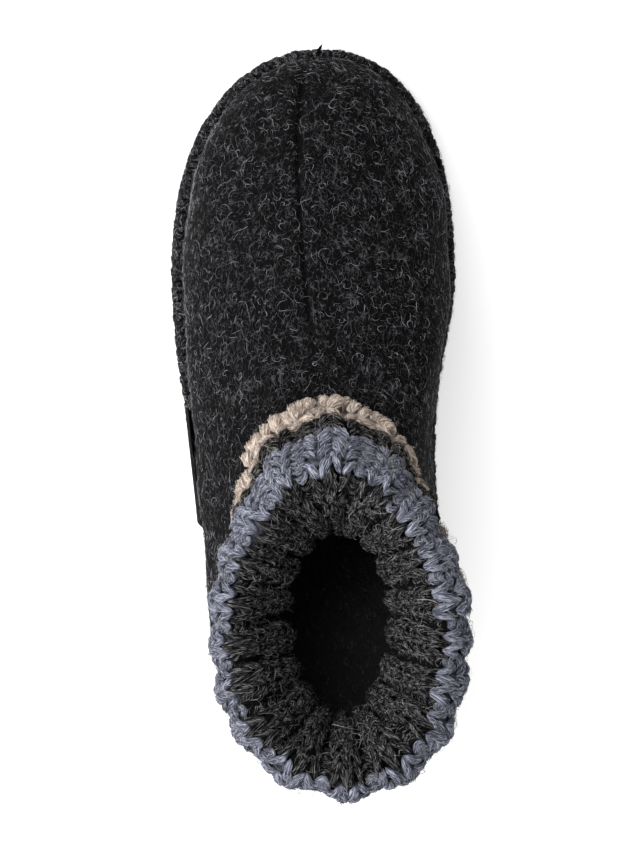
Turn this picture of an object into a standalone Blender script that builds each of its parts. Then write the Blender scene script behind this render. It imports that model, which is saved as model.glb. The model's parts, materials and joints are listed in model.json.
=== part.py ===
"""A slipper boot of boiled wool for the left foot.

Sole, insole, upper, knitted cuff and side patch are separate solids. Lengths are in metres,
the toe points along +Y, the inner side of the foot is +X, and the floor is Z = 0.
"""

import math

import bmesh
import bpy
import numpy as np

MM = 0.001
UP = np.array([0.0, 0.0, 1.0])
INWARD = np.array([1.0, 0.0, 0.0])

# The sole's edge, measured out from the centre line of the foot
SOLE_LENGTH = 268 * MM
BALL_FROM_TOE = 84 * MM
HEEL_FROM_TOE = 202 * MM
HEEL_POWER = 2.2
WAIST_SKEW = 0.8
EDGE = {
    "lateral": {
        "sign": -1,
        "ball": 54.5 * MM,
        "heel": 43.3 * MM,
        "arch": 0.0,
        "toe_length_power": 2.3,
        "toe_width_power": 2.0,
        "flange": 4.4 * MM,
        "fullness": 11.0 * MM,
        "fullness_skew": 1.45,
        "fullness_power": 5,
    },
    "medial": {
        "sign": 1,
        "ball": 50.0 * MM,
        "heel": 42.6 * MM,
        "arch": 5.3 * MM,
        "toe_length_power": 2.5,
        "toe_width_power": 2.3,
        "flange": 3.8 * MM,
        "fullness": 2.5 * MM,
        "fullness_skew": 1.0,
        "fullness_power": 1,
    },
}
CENTRE_X = (EDGE["lateral"]["ball"] - EDGE["medial"]["ball"]) / 2
TOE_SPRING = 3.5 * MM
SPRING_FROM_TOE = 55 * MM

# Layers, and the gap that neighbouring pieces keep
GAP = 0.3 * MM
SOLE_THICK = 5.5 * MM
INSOLE_THICK = 3.0 * MM
INSOLE_SLACK = 0.9 * MM
FELT_THICK = 3.0 * MM
KNIT_THICK = 4.6 * MM
PATCH_THICK = 1.2 * MM

# The sole's section at its edge: how far each corner is in from the edge, and how high
SOLE_SECTION = [
    {"inset": 8.0 * MM, "height": 0.0},
    {"inset": 1.8 * MM, "height": 0.0},
    {"inset": 0.4 * MM, "height": 0.8 * MM},
    {"inset": 0.0, "height": 2.4 * MM},
    {"inset": 0.3 * MM, "height": 4.6 * MM},
    {"inset": 1.2 * MM, "height": SOLE_THICK},
    {"inset": 8.0 * MM, "height": SOLE_THICK},
]
SPINE_FROM_TOE = 44 * MM
SPINE_FROM_HEEL = 36 * MM

# The upper: a flange on the sole's edge, then a wall that runs up to the collar
FLANGE_LIP = 0.8 * MM
FLANGE_BEND = 1.6 * MM
WALL_ROWS = 13
WALL = [
    {"place": 0.00, "rise": 45 * MM, "bulge": 2.0 * MM, "reach": 88 * MM, "drop": 37 * MM},
    {"place": 0.18, "rise": 41 * MM, "bulge": 2.5 * MM, "reach": 76 * MM, "drop": 34 * MM},
    {"place": 0.36, "rise": 36 * MM, "bulge": 2.5 * MM, "reach": 48 * MM, "drop": 28 * MM},
    {"place": 0.58, "rise": 32 * MM, "bulge": 2.0 * MM, "reach": 13 * MM, "drop": 26 * MM},
    {"place": 0.80, "rise": 34 * MM, "bulge": 2.5 * MM, "reach": 5 * MM, "drop": 30 * MM},
    {"place": 1.00, "rise": 36 * MM, "bulge": 4.0 * MM, "reach": 3 * MM, "drop": 34 * MM},
]
SEAM_DEPTH = 1.3 * MM
SEAM_LIP = 0.35 * MM
SEAM_FADE = 0.72
SEAM_LEAN = {"lower": -7 * MM, "upper": -14 * MM}
SEAM_LEAN_END = 0.4

# The collar: an oval that leans towards the inner side, as the soft cuff pulls it
COLLAR_X = CENTRE_X + 5 * MM
COLLAR_FRONT_FROM_TOE = 158 * MM
COLLAR_BACK_FROM_TOE = 249 * MM
COLLAR_HALF_WIDTH = 30 * MM
COLLAR_HEIGHT = {"front": 91 * MM, "side": 84 * MM, "back": 88 * MM}
COLLAR_SPREAD = 0.25

# The cuff: its knit stands up from the collar, turns over a crest and hangs down outside.
# Each fold is placed out from the collar's edge and up from it, at the front, side and back.
# At the corners between them it is moved on, as the plan is pointed in front and full behind.
RIBS = 18
COLUMNS_PER_RIB = 5
RIB_HEIGHT = 1.9 * MM
CUFF_ROWS = 15
HEM_DEPTHS = [11 * MM, 4 * MM, -3 * MM]
CUFF_FOLDS = [
    {"fold": "neck", "front": (-10, 4.5), "side": (-8.5, 7), "back": (-8, 6)},
    {"fold": "funnel", "front": (-8, 12.5), "side": (-5.5, 16), "back": (-4.5, 15)},
    {
        "fold": "crest inside", "front": (-3, 20.5), "side": (0.5, 27), "back": (1.5, 25.5),
        "front corner": (-0.5, 0), "back corner": (1, 0), "lean": 0.5,
    },
    {
        "fold": "crest", "front": (4, 24), "side": (5.5, 30.5), "back": (6.5, 29),
        "front corner": (-2, 0), "back corner": (1.5, 0), "lean": 1.0,
    },
    {
        "fold": "crest outside", "front": (10, 20.5), "side": (9.8, 26), "back": (10.6, 24.5),
        "front corner": (-3.5, 0), "back corner": (2, 0), "lean": 1.0,
    },
    {
        "fold": "flap", "front": (19, 6.5), "side": (10.2, 13), "back": (10.6, 11.5),
        "front corner": (-3.5, 0.5), "back corner": (2, 0), "lean": 1.0,
    },
]
CREST_LEAN = {"front": -2 * MM, "side": 0.0, "back": 1 * MM}
FLAP_FOLDS = ("flap", "free edge")
FLAP_POWER = 3
FREE_EDGE_TURN = {"front": -0.006, "side": 0.0, "back": 0.0}
FREE_EDGE_DEPTH = {
    "fold": "free edge", "front": 30 * MM, "side": 6 * MM, "back": 5 * MM, "front corner": -4 * MM,
}
FREE_EDGE_SLACK = {
    "fold": "free edge", "front": 0.4 * MM, "side": 5 * MM, "back": 4.5 * MM, "front corner": -1 * MM,
}

# The side patch lies low on the outer side's wall, behind the ball of the foot
PATCH_PLACES = (0.501, 0.606)
PATCH_HEIGHTS = (0.07, 0.225)
PATCH_LEAN = 0.08
PATCH_GRID = (9, 4)

# Stations round the sole, as shares from toe to heel. Two fine ones hold the front seam.
STATION_COUNT = 34
SEAM_STATIONS = [0.25 / STATION_COUNT, 0.5 / STATION_COUNT]

COLOURS = {
    "felt": (0.022, 0.022, 0.024, 1.0),
    "sole": (0.018, 0.018, 0.020, 1.0),
    "insole": (0.020, 0.020, 0.022, 1.0),
    "knit": (0.027, 0.027, 0.028, 1.0),
    "patch": (0.006, 0.006, 0.006, 1.0),
}


def unit(vector):
    return vector / np.linalg.norm(vector)


def smooth_curve(points, shares):
    """Points at these shares along a smooth curve through the given points, ends held flat."""
    points = np.asarray(points, float)
    before = np.vstack([points[:1], points[:-1]])
    after = np.vstack([points[1:], points[-1:]])
    slopes = (after - before) / 2
    place = np.clip(shares, 0, 1) * (len(points) - 1)
    start = np.minimum(place.astype(int), len(points) - 2)
    t = (place - start)[:, None]
    return (
        points[start] * (2 * t**3 - 3 * t**2 + 1)
        + slopes[start] * (t**3 - 2 * t**2 + t)
        + points[start + 1] * (3 * t**2 - 2 * t**3)
        + slopes[start + 1] * (t**3 - t**2)
    )


def from_toe(place):
    """Distance behind the toe's tip, for a place from 0 at the toe to 1 at the heel."""
    return SOLE_LENGTH * (1 - math.cos(math.pi * place)) / 2


def half_width(place, side):
    """How far the sole's edge lies from the centre line."""
    back = from_toe(place)
    row = EDGE[side]
    if back < BALL_FROM_TOE:
        run = (1 - back / BALL_FROM_TOE) ** row["toe_length_power"]
        return row["ball"] * (1 - run) ** (1 / row["toe_width_power"])
    if back > HEEL_FROM_TOE:
        run = (back - HEEL_FROM_TOE) / (SOLE_LENGTH - HEEL_FROM_TOE)
        return row["heel"] * math.sqrt(max(0.0, 1 - run**HEEL_POWER))
    waist = (back - BALL_FROM_TOE) / (HEEL_FROM_TOE - BALL_FROM_TOE)
    blend = (1 - math.cos(math.pi * waist)) / 2
    hollow = row["arch"] * math.sin(math.pi * waist**WAIST_SKEW) ** 2
    return row["ball"] + (row["heel"] - row["ball"]) * blend - hollow


def edge_normal(side, place, step=1e-3):
    """The direction square to the sole's edge, pointing out."""
    if place < step or place > 1 - step:
        return np.array([0.0, 1.0 if place < step else -1.0, 0.0])
    widening = half_width(place + step, side) - half_width(place - step, side)
    backward = from_toe(place + step) - from_toe(place - step)
    return unit(np.array([EDGE[side]["sign"] * backward, widening, 0.0]))


def edge_point(side, place, inset=0.0, height=0.0):
    """A point on the sole's edge, moved in by the inset and lifted by the toe's spring."""
    x = CENTRE_X + EDGE[side]["sign"] * half_width(place, side)
    y = SOLE_LENGTH / 2 - from_toe(place)
    point = np.array([x, y, 0.0]) - inset * edge_normal(side, place)
    return point + UP * (height + toe_spring(point[1]))


def toe_spring(y):
    """How far the sole has lifted off the floor at this place along the foot."""
    start = SOLE_LENGTH / 2 - SPRING_FROM_TOE
    return TOE_SPRING * max(0.0, (y - start) / SPRING_FROM_TOE) ** 2


def around(fine=False):
    """Side and place of each column round the shoe, from the toe by the inner side."""
    places = [i / STATION_COUNT for i in range(STATION_COUNT + 1)]
    if fine:
        places = sorted(places + SEAM_STATIONS)
    inner = [("medial", place) for place in places]
    outer = [("lateral", place) for place in reversed(places[1:-1])]
    return inner + outer


def spine_ring(height):
    """A ring drawn in to the centre line, which closes a sole's top or bottom."""
    low = -SOLE_LENGTH / 2 + SPINE_FROM_HEEL
    high = SOLE_LENGTH / 2 - SPINE_FROM_TOE
    ring = []
    for side, place in around():
        y = min(max(edge_point(side, place)[1], low), high)
        ring.append(np.array([CENTRE_X, y, height + toe_spring(y)]))
    return ring


def plate_rings(section, inset=None):
    """Rings of a plate that follows the sole's edge, from its underside round to its top."""
    extra = inset or {"lateral": 0.0, "medial": 0.0}
    rings = [spine_ring(section[0]["height"])]
    for row in section:
        rings.append(
            [
                edge_point(side, place, row["inset"] + extra[side], row["height"])
                for side, place in around()
            ]
        )
    return rings + [spine_ring(section[-1]["height"])]


def collar_share(place):
    """Share of the way round the collar that belongs to a place along the sole."""
    return COLLAR_SPREAD * place + (1 - COLLAR_SPREAD) * place**2


def collar_place(share):
    """The place along the sole that belongs to a share of the way round the collar."""
    square = 1 - COLLAR_SPREAD
    root = math.sqrt(COLLAR_SPREAD**2 + 4 * square * share)
    return (root - COLLAR_SPREAD) / (2 * square)


def collar_middle():
    return np.array(
        [
            COLLAR_X,
            SOLE_LENGTH / 2 - (COLLAR_FRONT_FROM_TOE + COLLAR_BACK_FROM_TOE) / 2,
            0.0,
        ]
    )


def front_side_back(turn, values):
    """Blends a front, a side and a back value by the turn round the collar, and adds the corners."""
    forward = math.cos(2 * math.pi * turn)
    end = "front" if forward > 0 else "back"
    share = abs(forward) ** (FLAP_POWER if values.get("fold") in FLAP_FOLDS else 2)
    side = np.asarray(values["side"])
    corner = np.asarray(values.get(end + " corner", 0.0))
    return side + (np.asarray(values[end]) - side) * share + corner * (4 * forward**2 * (1 - forward**2))


def collar_point(turn):
    """The collar's edge. A turn runs from 0 at the front past the inner side to 1."""
    half_length = (COLLAR_BACK_FROM_TOE - COLLAR_FRONT_FROM_TOE) / 2
    angle = 2 * math.pi * turn
    offset = np.array([COLLAR_HALF_WIDTH * math.sin(angle), half_length * math.cos(angle), 0.0])
    return collar_middle() + offset + UP * front_side_back(turn, COLLAR_HEIGHT)


def wall_shape(place):
    """The wall's handles at a place along the sole, as rise, bulge, reach and drop."""
    columns = ("rise", "bulge", "reach", "drop")
    rows = [[row[name] for name in columns] for row in WALL]
    spots = [row["place"] for row in WALL]
    share = np.interp(place, spots, np.linspace(0, 1, len(WALL)))
    return smooth_curve(rows, np.array([share]))[0]


def foot_height():
    """Height of the flange's top face above the floor."""
    return SOLE_THICK + GAP + FELT_THICK


def seam_lean(place):
    """How much of the seam's lean towards the outer side is left at a place along the sole."""
    return math.cos(math.pi / 2 * min(1.0, place / SEAM_LEAN_END)) ** 2


def wall_fullness(side, place):
    """How much further the soft wall swells out at a place along one side of the foot."""
    row = EDGE[side]
    swell = abs(math.sin(math.pi * place ** row["fullness_skew"]))
    return row["fullness"] * swell ** row["fullness_power"]


def wall_handles(side, place):
    """The four handles of the wall's curve, from the flange up to the collar."""
    rise, bulge, reach, drop = wall_shape(place)
    flange = EDGE[side]["flange"]
    foot = edge_point(side, place, flange, foot_height() + FLANGE_BEND)
    turn = collar_share(place) / 2
    collar = collar_point(turn if side == "medial" else 1 - turn)
    outward = edge_normal(side, place)
    lower = foot + UP * rise + outward * (bulge + wall_fullness(side, place))
    away = (foot - collar) * np.array([1.0, 1.0, 0.0])
    upper = collar + unit(away) * reach - UP * drop
    lower[0] += SEAM_LEAN["lower"] * seam_lean(place)
    upper[0] += SEAM_LEAN["upper"] * seam_lean(place)
    return foot, lower, upper, collar


def wall_point(side, place, t):
    """A point on the upper's outer face, t running from the flange to the collar."""
    a, b, c, d = wall_handles(side, place)
    s = 1 - t
    return a * s**3 + 3 * b * s * s * t + 3 * c * s * t * t + d * t**3


def seam_relief(place, t):
    """How far the front seam draws the felt in, with a low lip on each side of it."""
    fade = max(0.0, 1 - (t / SEAM_FADE) ** 4)
    if place == 0:
        return -SEAM_DEPTH * fade
    if place == SEAM_STATIONS[0]:
        return -0.45 * SEAM_DEPTH * fade
    if place == 1 / STATION_COUNT:
        return SEAM_LIP * fade
    return 0.0


def wall_normal(side, place, t, step=1e-3):
    """The outward normal of the wall, worked out from its neighbours."""
    t = min(max(t, step), 1 - step)
    spot = min(max(place, 2 * step), 1 - 2 * step)
    rising = wall_point(side, place, t + step) - wall_point(side, place, t - step)
    along = wall_point(side, spot + step, t) - wall_point(side, spot - step, t)
    return unit(np.cross(rising, along) * EDGE[side]["sign"])


def upper_column(side, place):
    """One column of the upper's outer face, from the flange's lip up to the collar."""
    flange = EDGE[side]["flange"]
    lip = edge_point(side, place, FLANGE_LIP, foot_height())
    root = edge_point(side, place, flange - FLANGE_BEND, foot_height())
    column = [lip, root]
    for t in np.linspace(0, 1, WALL_ROWS):
        relief = seam_relief(place, t)
        normal = wall_normal(side, place, t) if relief else UP
        column.append(wall_point(side, place, t) + relief * normal)
    return column


def cuff_turns():
    """Turns of the cuff's columns, equally spaced along its crest."""
    dense = np.linspace(0, 1, 721)
    ring = np.array([collar_point(turn) for turn in dense])
    steps = np.linalg.norm(np.diff(ring[:, :2], axis=0), axis=1)
    run = np.concatenate([[0.0], np.cumsum(steps)])
    count = RIBS * COLUMNS_PER_RIB
    return np.interp(np.arange(count) / count * run[-1], run, dense)


def felt_at(turn, depth):
    """A point on the felt's outer face below the collar's edge, and the normal there."""
    side = "medial" if turn <= 0.5 else "lateral"
    place = collar_place(2 * turn if turn <= 0.5 else 2 * (1 - turn))
    handles = wall_handles(side, place)
    t = 1 - depth / (3 * np.linalg.norm(handles[3] - handles[2]))
    return wall_point(side, place, t), wall_normal(side, place, t)


def collar_directions(turn, step=1e-3):
    """Along the collar's edge, and square to it in plan, pointing out."""
    along = collar_point(turn + step) - collar_point(turn - step)
    along = unit(along * np.array([1.0, 1.0, 0.0]))
    return along, np.cross(UP, along)


def cuff_line(turn):
    """The middle of the knit's thickness, from its hem inside over the crest to its free edge."""
    along, outward = collar_directions(turn)
    edge = collar_point(turn)
    line = []
    for depth in HEM_DEPTHS:
        point, normal = felt_at(turn, depth)
        line.append(point - normal * (FELT_THICK + GAP + KNIT_THICK / 2))
    for row in CUFF_FOLDS:
        out, up = front_side_back(turn, row) * MM
        lean = front_side_back(turn, CREST_LEAN) * row.get("lean", 0.0)
        line.append(edge + outward * out + UP * up + INWARD * lean)
    hung = (turn + front_side_back(turn, FREE_EDGE_TURN)) % 1.0
    point, normal = felt_at(hung, front_side_back(turn, FREE_EDGE_DEPTH))
    slack = front_side_back(turn, FREE_EDGE_SLACK)
    line.append(point + normal * (GAP + KNIT_THICK / 2 + slack))
    return smooth_curve(line, np.linspace(0, 1, CUFF_ROWS)), along


def cuff_section(turn, phase):
    """The closed section of the cuff, its seen face ribbed and its hidden face plain."""
    line, along = cuff_line(turn)
    slopes = np.gradient(line, axis=0)
    seen = []
    hidden = []
    for row, (point, slope) in enumerate(zip(line, slopes)):
        normal = unit(np.cross(along, slope))
        rib = RIB_HEIGHT * math.cos(phase) * min(1.0, row / 4)
        seen.append(point + normal * (KNIT_THICK / 2 + rib))
        hidden.append(point - normal * KNIT_THICK / 2)
    return seen + hidden[::-1]


def finish(name, mesh, colour, roughness):
    """Adds the object with its own plain material."""
    for polygon in mesh.polygons:
        polygon.use_smooth = True
    obj = bpy.data.objects.new(name, mesh)
    material = bpy.data.materials.new(name)
    material.use_nodes = True
    shader = material.node_tree.nodes["Principled BSDF"]
    shader.inputs["Base Color"].default_value = COLOURS[colour]
    shader.inputs["Roughness"].default_value = roughness
    shader.inputs["Metallic"].default_value = 0.0
    mesh.materials.append(material)
    bpy.data.collections["slipper_boot"].objects.link(obj)
    return obj


def loft(name, rings, closed_rings=True, closed_ends=False):
    """A mesh that joins each ring to the next, with its normals pointing out."""
    made = bmesh.new()
    rows = [[made.verts.new(point) for point in ring] for ring in rings]
    pairs = list(zip(rows, rows[1:]))
    if closed_ends:
        pairs.append((rows[-1], rows[0]))
    for lower, upper in pairs:
        count = len(lower)
        for i in range(count if closed_rings else count - 1):
            j = (i + 1) % count
            made.faces.new((lower[i], lower[j], upper[j], upper[i]))
    bmesh.ops.remove_doubles(made, verts=made.verts[:], dist=1e-6)
    bmesh.ops.recalc_face_normals(made, faces=made.faces[:])
    mesh = bpy.data.meshes.new(name)
    made.to_mesh(mesh)
    made.free()
    return mesh


def thicken(obj, thickness, offset):
    modifier = obj.modifiers.new("wall", "SOLIDIFY")
    modifier.thickness = thickness
    modifier.offset = offset
    modifier.use_even_offset = True
    modifier.use_rim = True


def make_sole():
    finish("sole", loft("sole", plate_rings(SOLE_SECTION)), "sole", 0.95)


def make_insole():
    base = SOLE_THICK + GAP
    edge = 1.0 * MM
    section = [
        {"inset": 8.0 * MM, "height": base},
        {"inset": 0.0, "height": base},
        {"inset": 0.0, "height": base + INSOLE_THICK - edge},
        {"inset": edge, "height": base + INSOLE_THICK},
        {"inset": 8.0 * MM, "height": base + INSOLE_THICK},
    ]
    inset = {side: row["flange"] + FELT_THICK + INSOLE_SLACK for side, row in EDGE.items()}
    finish("insole", loft("insole", plate_rings(section, inset)), "insole", 0.95)


def make_upper():
    columns = [upper_column(side, place) for side, place in around(fine=True)]
    upper = finish("upper", loft("upper", list(zip(*columns))), "felt", 0.95)
    thicken(upper, FELT_THICK, -1)


def make_cuff():
    sections = []
    for number, turn in enumerate(cuff_turns()):
        phase = 2 * math.pi * (number + 0.5) / COLUMNS_PER_RIB
        sections.append(cuff_section(turn, phase))
    finish("cuff", loft("cuff", sections, closed_ends=True), "knit", 0.95)


def make_side_patch():
    across, up = PATCH_GRID
    rings = []
    for place in np.linspace(*PATCH_PLACES, across):
        ring = []
        for t in np.linspace(*PATCH_HEIGHTS, up):
            spot = place - PATCH_LEAN * t
            normal = wall_normal("lateral", spot, t)
            ring.append(wall_point("lateral", spot, t) + normal * GAP)
        rings.append(ring)
    patch = finish("side_patch", loft("side_patch", rings, closed_rings=False), "patch", 0.6)
    thicken(patch, PATCH_THICK, 1)


def main():
    for obj in list(bpy.data.objects):
        bpy.data.objects.remove(obj)
    collection = bpy.data.collections.new("slipper_boot")
    bpy.context.scene.collection.children.link(collection)
    make_sole()
    make_insole()
    make_upper()
    make_cuff()
    make_side_patch()


main()
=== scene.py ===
# %% [markdown]
# # A boiled wool slipper boot
# The slipper is a felt shell on a felt sole, with a chunky ribbed cuff turned down over its collar.
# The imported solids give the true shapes. This lesson dresses them: felt with loose fibres, matted
# wool wrapped round the sole's edge, and a cuff of real stitches. All of it stays in their frame.

# %% Load the frame
import json
import math

import bmesh
import bpy
import numpy as np
from mathutils import Matrix, Vector, kdtree

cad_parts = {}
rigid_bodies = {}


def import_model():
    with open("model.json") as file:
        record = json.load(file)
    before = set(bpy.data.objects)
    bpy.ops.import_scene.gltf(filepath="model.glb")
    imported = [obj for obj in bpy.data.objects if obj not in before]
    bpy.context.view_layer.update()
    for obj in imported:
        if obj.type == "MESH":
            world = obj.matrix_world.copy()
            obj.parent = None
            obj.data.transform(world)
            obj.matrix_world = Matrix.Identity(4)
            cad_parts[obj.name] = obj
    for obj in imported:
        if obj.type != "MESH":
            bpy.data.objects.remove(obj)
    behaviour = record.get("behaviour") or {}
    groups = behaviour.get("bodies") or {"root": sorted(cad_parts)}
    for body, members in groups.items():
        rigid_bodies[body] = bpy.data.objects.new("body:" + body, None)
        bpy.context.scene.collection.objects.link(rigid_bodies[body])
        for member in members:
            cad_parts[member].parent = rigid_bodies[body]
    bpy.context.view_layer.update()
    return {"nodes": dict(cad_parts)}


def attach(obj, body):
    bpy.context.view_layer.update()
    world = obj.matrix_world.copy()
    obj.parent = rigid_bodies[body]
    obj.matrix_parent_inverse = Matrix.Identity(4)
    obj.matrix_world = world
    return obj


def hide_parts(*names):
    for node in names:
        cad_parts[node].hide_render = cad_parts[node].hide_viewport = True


for leftover in list(bpy.data.objects):
    bpy.data.objects.remove(leftover)
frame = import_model()
MM = 0.001
chance = np.random.default_rng(216)
print("solids:", sorted(frame["nodes"]))

# %% [markdown]
# ## Camera
# The photo looks straight down on the slipper, with the toe at the top and turned a little to the
# left. A long lens far above gives the same small widening of the cuff, which is nearer the camera.

# %% Camera
PHOTO_HEIGHT = 851
FLOOR_PER_PIXEL = 0.371 * MM
SENSOR_WIDTH = 36
CAMERA_PLACE = Vector((7 * MM, 10 * MM, 1.25))
CAMERA_AIM = Vector((1.25 * MM, -4.4 * MM, 0))
TOE_TURN = math.radians(-1.18)


def add_object(name, data):
    """A new object in the scene."""
    made = bpy.data.objects.new(name, data)
    bpy.context.scene.collection.objects.link(made)
    return made


lens = bpy.data.cameras.new("camera")
lens.sensor_width = SENSOR_WIDTH
lens.lens = SENSOR_WIDTH * CAMERA_PLACE.z / (PHOTO_HEIGHT * FLOOR_PER_PIXEL)
camera = add_object("camera", lens)
backward = (CAMERA_PLACE - CAMERA_AIM).normalized()
rightward = Vector((-math.sin(TOE_TURN), math.cos(TOE_TURN), 0)).cross(backward).normalized()
upward = backward.cross(rightward)
turned = Matrix((rightward, upward, backward)).transposed().to_4x4()
camera.matrix_world = Matrix.Translation(CAMERA_PLACE) @ turned
bpy.context.scene.camera = camera
print("lens", round(lens.lens, 1), "mm")

# %% [markdown]
# ## Materials written as sums
# A shader tree is easier to read as arithmetic. `Number` wraps a socket, so `1 - mask * 2` adds Math
# nodes, and `Finish` adds any other node in one call and hands back a socket.


# %% Numbers and finishes
class Number:
    """A number that changes over a surface."""

    def __init__(self, finish, socket):
        self.finish = finish
        self.socket = socket

    def math(self, operation, *values):
        settings = {"operation": operation}
        return self.finish.number("ShaderNodeMath", settings, dict(enumerate(values)))

    def __add__(self, other):
        return self.math("ADD", self, other)

    def __sub__(self, other):
        return self.math("SUBTRACT", self, other)

    def __rsub__(self, other):
        return self.math("SUBTRACT", other, self)

    def __mul__(self, other):
        return self.math("MULTIPLY", self, other)

    __radd__ = __add__
    __rmul__ = __mul__

    def size(self):
        """The number without its sign."""
        return self.math("ABSOLUTE", self)

    def rise(self, low, high):
        """0 below low, 1 above high and smooth between them."""
        settings = {"interpolation_type": "SMOOTHSTEP"}
        return self.finish.number("ShaderNodeMapRange", settings, {0: self, 1: low, 2: high})


class Finish:
    """A material that is being written."""

    def __init__(self, name, roughness=0.9, specular=0.05):
        self.material = bpy.data.materials.new(name)
        self.material.use_nodes = True
        self.tree = self.material.node_tree
        self.shader = self.tree.nodes["Principled BSDF"]
        self.shader.inputs["Roughness"].default_value = roughness
        self.shader.inputs["Specular IOR Level"].default_value = specular

    def put(self, socket, value):
        if isinstance(value, Number):
            value = value.socket
        if isinstance(value, bpy.types.NodeSocket):
            self.tree.links.new(value, socket)
        else:
            socket.default_value = value

    def node(self, kind, settings=None, inputs=None, out=0):
        made = self.tree.nodes.new(kind)
        for name, value in (settings or {}).items():
            setattr(made, name, value)
        for name, value in (inputs or {}).items():
            self.put(made.inputs[name], value)
        return made.outputs[out]

    def number(self, kind, settings=None, inputs=None, out=0):
        return Number(self, self.node(kind, settings, inputs, out))

    def place(self):
        return self.node("ShaderNodeTexCoord", out="Object")

    def stretched(self, vector, scale, turn=(0, 0, 0)):
        inputs = {"Vector": vector, "Scale": scale, "Rotation": turn}
        return self.node("ShaderNodeMapping", {}, inputs)

    def noise(self, vector, scale, detail=2.0, roughness=0.5):
        inputs = {"Vector": vector, "Scale": scale, "Detail": detail, "Roughness": roughness}
        return self.number("ShaderNodeTexNoise", {}, inputs)

    def streaks(self, count, around, along, detail=0.0, roughness=0.5):
        """Noise on a mesh of count joined tubes, with so many streaks around and along each tube."""
        cells = math.ceil(math.sqrt(count))
        uv = self.node("ShaderNodeTexCoord", out="UV")
        threads = self.stretched(uv, (cells * around, cells * along, 1))
        return self.noise(threads, 1.0, detail, roughness)

    def curly(self, vector, scale, width):
        """Thin curly lines, as of fibres lying over each other: where a noise passes its middle."""
        level = self.noise(vector, scale, 0.0)
        return 1 - (level - 0.5).size().rise(0.0, width)

    def blend(self, factor, first, second):
        inputs = {0: factor, "A": first, "B": second}
        return self.node("ShaderNodeMix", {"data_type": "RGBA"}, inputs, out="Result")

    def colour(self, value):
        self.put(self.shader.inputs["Base Color"], value)

    def bump(self, height, depth):
        inputs = {"Height": height, "Strength": 1.0, "Distance": depth}
        self.put(self.shader.inputs["Normal"], self.node("ShaderNodeBump", {}, inputs))


COOL = (1.0, 0.99, 1.06)


def grey(level, tint=COOL):
    """A tint at this level: a nearly neutral one, a touch cool, as charcoal wool is, or another."""
    return (level * tint[0], level * tint[1], level * tint[2], 1.0)


print("finishes can be written")

# %% [markdown]
# ## Many small tubes in one mesh
# Fibres, stitches and wraps are all thin closed tubes. Thousands of objects would be slow, so one
# helper takes arrays of paths and radii and joins all tubes into one mesh. Each tube has its own
# square of the UV map, so a streak can run along it and the map never overlaps.

# %% Tubes from arrays
TINY = 1e-12
UV_MARGIN = 0.08


def unit(vectors):
    return vectors / np.maximum(np.linalg.norm(vectors, axis=-1, keepdims=True), TINY)


def joined_mesh(name, points, faces, corners):
    """A mesh from arrays: faces is a list of arrays of vertex numbers, corners their UVs."""
    mesh = bpy.data.meshes.new(name)
    mesh.vertices.add(len(points))
    mesh.vertices.foreach_set("co", points.ravel())
    loops = np.concatenate([face.ravel() for face in faces])
    sizes = np.concatenate([np.full(len(face), face.shape[1]) for face in faces])
    mesh.loops.add(len(loops))
    mesh.loops.foreach_set("vertex_index", loops)
    mesh.polygons.add(len(sizes))
    mesh.polygons.foreach_set("loop_start", np.concatenate([[0], np.cumsum(sizes)[:-1]]))
    mesh.polygons.foreach_set("use_smooth", np.ones(len(sizes), bool))
    layer = mesh.uv_layers.new(name="threads")
    layer.data.foreach_set("uv", np.concatenate([c.reshape(-1, 2) for c in corners]).ravel())
    mesh.update(calc_edges=True)
    return mesh


def tubes(name, paths, radii, sides, facing, flatness=1.0):
    """Closed tubes along paths (tube, step, xyz), pointed at both ends, flattened towards facing."""
    count, steps, _ = paths.shape
    last = steps - 1
    ahead = unit(np.gradient(paths, axis=1))
    across = unit(np.cross(facing, ahead))
    outward = np.cross(ahead, across)
    angles = (np.arange(sides) * 2 * math.pi / sides)[:, None]
    swing = across[:, :, None] * np.cos(angles) + outward[:, :, None] * np.sin(angles) * flatness
    rings = paths[:, :, None] + swing * radii[:, :, None, None]
    rings = rings[:, 1:last].reshape(count, -1, 3)
    points = np.concatenate([paths[:, :1], rings, paths[:, last:]], axis=1)
    numbers = 1 + (np.arange(steps)[:, None] - 1) * sides + np.arange(sides + 1) % sides
    numbers[0], numbers[last] = 0, points.shape[1] - 1
    step, side = (part.ravel() for part in np.mgrid[1 : last - 1, :sides])
    around = np.arange(sides)
    tip, end = 0 * around, 0 * around + last
    kinds = [
        [(step, side), (step, side + 1), (step + 1, side + 1), (step + 1, side)],
        [(tip, around), (tip + 1, around + 1), (tip + 1, around)],
        [(end, around), (end - 1, around), (end - 1, around + 1)],
    ]
    first = np.arange(count)[:, None, None] * points.shape[1]
    tiles = math.ceil(math.sqrt(count))
    tile = np.stack([np.arange(count) % tiles, np.arange(count) // tiles], axis=1)[:, None, None]
    faces, corners = [], []
    for kind in kinds:
        along, about = np.array(kind).transpose(1, 2, 0)
        faces.append((numbers[along, about] + first).reshape(-1, len(kind)))
        inside = np.stack([about / sides, along / last], axis=-1) * (1 - 2 * UV_MARGIN) + UV_MARGIN
        corners.append((tile + inside) / tiles)
    return joined_mesh(name, points.reshape(-1, 3), faces, corners)


triangle_counts = {}


def add_piece(mesh, finish, replaced=()):
    """Adds the mesh as a piece of the slipper that rides on its one body."""
    piece = add_object(mesh.name, mesh)
    mesh.materials.clear()
    mesh.materials.append(finish.material)
    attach(piece, "root")
    for node in replaced:
        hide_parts(node)
    triangle_counts[piece.name] = sum(len(face.vertices) - 2 for face in mesh.polygons)
    print(piece.name, "has", triangle_counts[piece.name], "triangles")


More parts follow.
